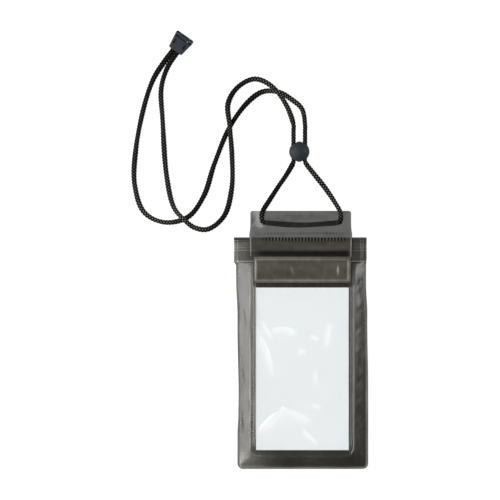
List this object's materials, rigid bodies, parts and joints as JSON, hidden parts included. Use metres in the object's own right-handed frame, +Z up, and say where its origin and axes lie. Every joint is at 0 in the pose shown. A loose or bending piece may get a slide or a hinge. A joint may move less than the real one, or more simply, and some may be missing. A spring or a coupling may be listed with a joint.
{
  "type": "phone pouch",
  "caption": "Flat welded film pouch for a phone, with a clear window on both sides, a folded press-zip mouth under a hook-and-loop flap, and a corded hanger tab.",
  "frame": {"origin": "on the resting plane, under the middle of the welded pouch's outline with its hanger tab", "axes": "+Z up through the pouch's thickness as it lies on its back, +Y along it towards the mouth and the cord, +X to its right as seen from the front"},
  "size_m": [0.1881, 0.3503, 0.013],
  "materials": {
    "smoke_back": "satin smoky see-through vinyl film",
    "smoke_front": "satin smoky see-through vinyl film, moulded",
    "smoke_flap": "satin smoky see-through vinyl film",
    "clear_front": "clear glossy vinyl film, lightly creased",
    "clear_back": "clear glossy vinyl film",
    "track_male": "smooth smoky vinyl profile",
    "track_female": "smooth smoky vinyl profile",
    "hook_tape": "black hook tape",
    "loop_tape": "black loop tape",
    "braid": "black braided cord",
    "bead_plastic": "satin slate plastic",
    "clip_plastic": "satin charcoal plastic"
  },
  "bodies": {
    "pouch": {"back_panel": "smoke_back", "front_panel": "smoke_front", "front_window": "clear_front", "back_window": "clear_back", "zip_track_male": "track_male", "zip_track_female": "track_female", "closure_flap": "smoke_flap", "hook_pad": "hook_tape", "loop_pad": "loop_tape", "lanyard_cord": "braid", "clip_body": "clip_plastic"},
    "bead": {"slider_bead": "bead_plastic"},
    "lid": {"clip_lid": "clip_plastic"}
  },
  "joints": [
    {"name": "bead_slide", "type": "slide", "parent": "pouch", "child": "bead", "axis": [0, 1, 0], "range_m": [0, 0.012]},
    {"name": "clip_lid_hinge", "type": "hinge", "parent": "pouch", "child": "lid", "pos_m": [-0.0929, 0.24151, 0.0034], "axis": [-0.8161, 0.5779, 0], "range_deg": [0, 100]}
  ]
}
